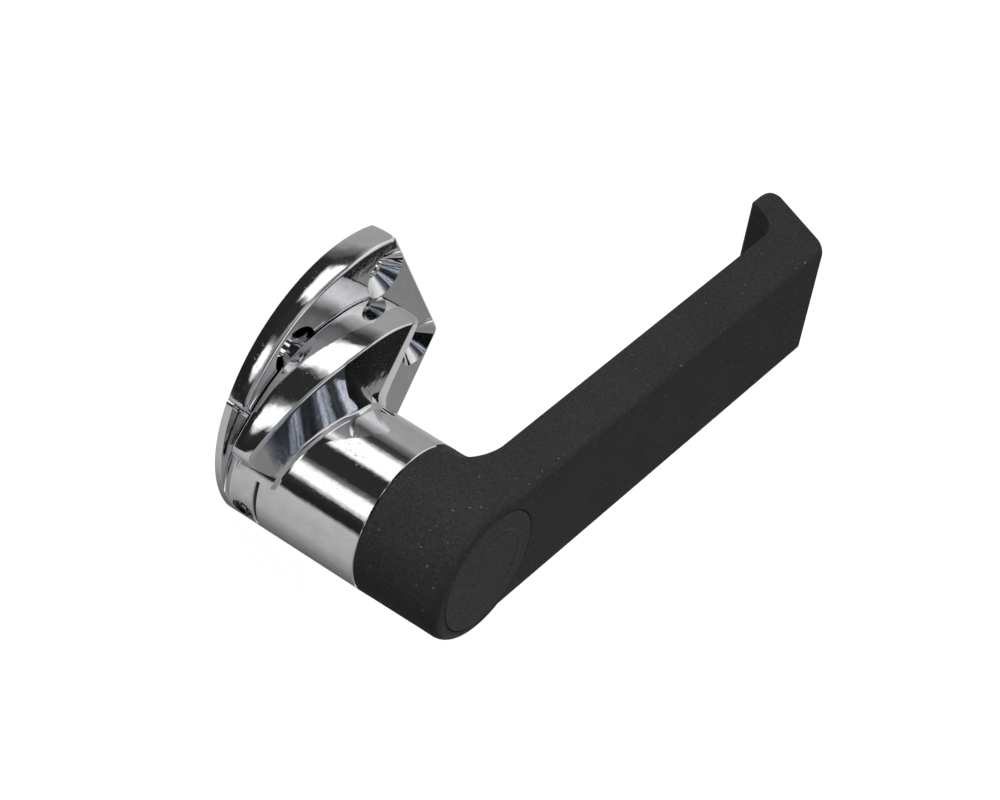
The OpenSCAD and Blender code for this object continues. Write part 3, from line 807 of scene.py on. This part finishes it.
studioSpec = {
    "radius": 2.2, "wander": 0.05,
    # brightness by direction round the barrel, in degrees, for four bands of height
    "middle": [(-180, 0.02), (-177, 0.03), (-172, 0.56), (-150, 0.52), (-126, 0.47), (-111, 0.34),
               (-96, 0.225), (-78, 0.16), (-70, 0.12), (-62, 0.2), (-54, 0.56), (-33, 0.53), (-18, 0.44),
               (0, 0.37), (15, 0.4), (42, 0.43), (50, 0.2), (58, 0.035), (67, 0.07),
               (72, 1.35), (100, 1.35), (106, 0.03), (131, 0.03), (139, 0.3), (143, 1.35), (158, 1.35),
               (164, 0.04), (176, 0.02)],
    "under": [(-180, 0.02), (-176, 0.04), (-168, 0.5), (-126, 0.44), (-96, 0.2), (-66, 0.12),
              (-50, 0.5), (-20, 0.45), (20, 0.42), (42, 0.4), (53, 0.14), (62, 0.03), (160, 0.02)],
    "upper": [(-180, 0.35), (-140, 0.3), (-118, 0.24), (-100, 0.3), (-85, 0.4), (-78, 1.2), (-62, 1.2),
              (-55, 0.34), (-46, 0.27), (-38, 0.2), (-20, 0.3), (14, 0.8), (34, 1.0), (50, 0.4),
              (58, 0.12), (80, 0.3), (110, 0.45), (150, 0.2), (175, 0.35)],
    "overhead": [(-180, 0.5), (-150, 0.3), (-124, 0.2), (-112, 0.05), (-98, 0.02), (-88, 0.05),
                 (-77, 0.3), (-70, 0.15), (-62, 0.03), (-40, 0.05), (-15, 0.5), (20, 0.9), (48, 1.0),
                 (58, 0.12), (78, 0.04), (92, 0.55), (106, 0.6), (123, 0.05), (160, 0.03), (172, 0.3)],
    # height in degrees where each band ends, and how soft that is
    "underEnd": (-26.8, 0.012), "middleEnd": (8, 0.02), "upperEnd": (52, 0.015), "overheadEnd": (72, 0.01),
    "top": grey(0.85), "sky": (0.88, 0.96, 1.12, 1), "skyPatches": 5.5,
    "floor": 0.86, "floorMottle": 0.04, "floorShadow": 0.07, "floorWhite": 1.05,
    "floorSize": 3000, "floorDrop": 0.15,
    "worldFill": 0.36,
    "lamps": {
        "keyLamp": {"at": (-0.28, 1.15, 0.34), "size": 0.4, "watts": 29},
        "sideLamp": {"at": (0.8, -0.5, 0.9), "size": 0.7, "watts": 2},
    },
}


def blendByPath(tree, white, other):
    # camera, glossy and transmission rays see the first shader
    path = tree.nodes.new("ShaderNodeLightPath")
    seen = path.outputs["Is Camera Ray"]
    for ray in ("Is Glossy Ray", "Is Transmission Ray"):
        either = tree.nodes.new("ShaderNodeMath")
        either.operation = "MAXIMUM"
        tree.links.new(seen, either.inputs[0])
        tree.links.new(path.outputs[ray], either.inputs[1])
        seen = either.outputs[0]
    mix = tree.nodes.new("ShaderNodeMixShader")
    tree.links.new(seen, mix.inputs[0])
    tree.links.new(other.outputs[0], mix.inputs[1])
    tree.links.new(white.outputs[0], mix.inputs[2])
    return mix


def addWorld(level):
    world = bpy.data.worlds.new("studio")
    bpy.context.scene.world = world
    world.use_nodes = True
    tree = world.node_tree
    tree.nodes.clear()
    out = tree.nodes.new("ShaderNodeOutputWorld")
    seen = tree.nodes.new("ShaderNodeBackground")
    light = tree.nodes.new("ShaderNodeBackground")
    for node, strength in ((seen, 1.0), (light, level)):
        node.inputs["Color"].default_value = grey(1)
        node.inputs["Strength"].default_value = strength
    tree.links.new(blendByPath(tree, seen, light).outputs[0], out.inputs["Surface"])


def addFloor(s):
    bm = bmesh.new()
    bmesh.ops.create_grid(bm, x_segments=8, y_segments=8, size=s["floorSize"])
    bmesh.ops.translate(bm, verts=bm.verts, vec=(0, 0, -s["floorDrop"]))
    floor = toObject("floor", bm)
    f = Finish("paleFloor")
    colour = f.blend(f.noise(6, 3), grey(s["floor"]), grey(s["floor"] + s["floorMottle"]))
    matt = f.node("BsdfDiffuse", Color=colour, Roughness=1.0)
    # the camera sees nearly plain white, with a little of the matt floor for the shadow
    white = f.node("Emission", Color=grey(1), Strength=s["floorWhite"])
    seen = f.node("LightPath", out="Is Camera Ray")
    f.show(f.node("MixShader", _0=seen * (1 - s["floorShadow"]), _1=matt, _2=white))
    floor.data.materials.append(f.material)
    floor.visible_glossy = False


def addRoom(s):
    # a ball round the object, seen only in its gloss
    bm = bmesh.new()
    bmesh.ops.create_uvsphere(bm, u_segments=48, v_segments=24, radius=s["radius"] / mm)
    bmesh.ops.reverse_faces(bm, faces=bm.faces)
    room = toObject("room", bm)
    f = Finish("roomLight")
    around = f.node("TexGradient", {"gradient_type": "RADIAL"}, out="Fac", Vector=f.place)
    height = f.node("SeparateXYZ", out="Z", Vector=f.place)
    # hand-hung screens: their edges wander a little
    around = around + (f.noise(1.6, 2) - 0.5) * s["wander"]
    rise = height * (0.5 / s["radius"]) + 0.5 + (f.noise(2.3, 2) - 0.5) * s["wander"]

    def band(name):
        return f.ramp(around, [((a + 180) / 360, v) for a, v in s[name]])

    def above(name):
        angle, soft = s[name]
        at = 0.5 + 0.5 * sinDeg(angle)
        return f.ramp(rise, [(at - soft, 0), (at + soft, 1)])
    colour = f.blend(above("underEnd"), band("under"), band("middle"))
    colour = f.blend(above("middleEnd"), colour, band("upper"))
    patches = f.ramp(f.noise(s["skyPatches"], 3), [(0.36, 0.25), (0.62, 1.25)])
    overhead = f.multiply(f.multiply(band("overhead"), s["sky"]), patches)
    colour = f.blend(above("upperEnd"), colour, overhead)
    colour = f.blend(above("overheadEnd"), colour, s["top"])
    f.show(f.node("Emission", Color=colour, Strength=1.0))
    room.data.materials.append(f.material)
    room.visible_camera = False
    room.visible_diffuse = False
    room.visible_shadow = False
    room.visible_transmission = False


def addLamp(name, spec):
    data = bpy.data.lights.new(name, "AREA")
    data.shape = "SQUARE"
    data.size = spec["size"]
    data.energy = spec["watts"]
    lamp = bpy.data.objects.new(name, data)
    at = Vector(spec["at"])
    lamp.matrix_world = Matrix.Translation(at) @ at.to_track_quat("Z", "Y").to_matrix().to_4x4()
    lamp.visible_glossy = False
    bpy.context.scene.collection.objects.link(lamp)


addWorld(studioSpec["worldFill"])
addFloor(studioSpec)
addRoom(studioSpec)
for name, spec in studioSpec["lamps"].items():
    addLamp(name, spec)
print("studio set")
bpy.context.scene.view_settings.view_transform = "Standard"
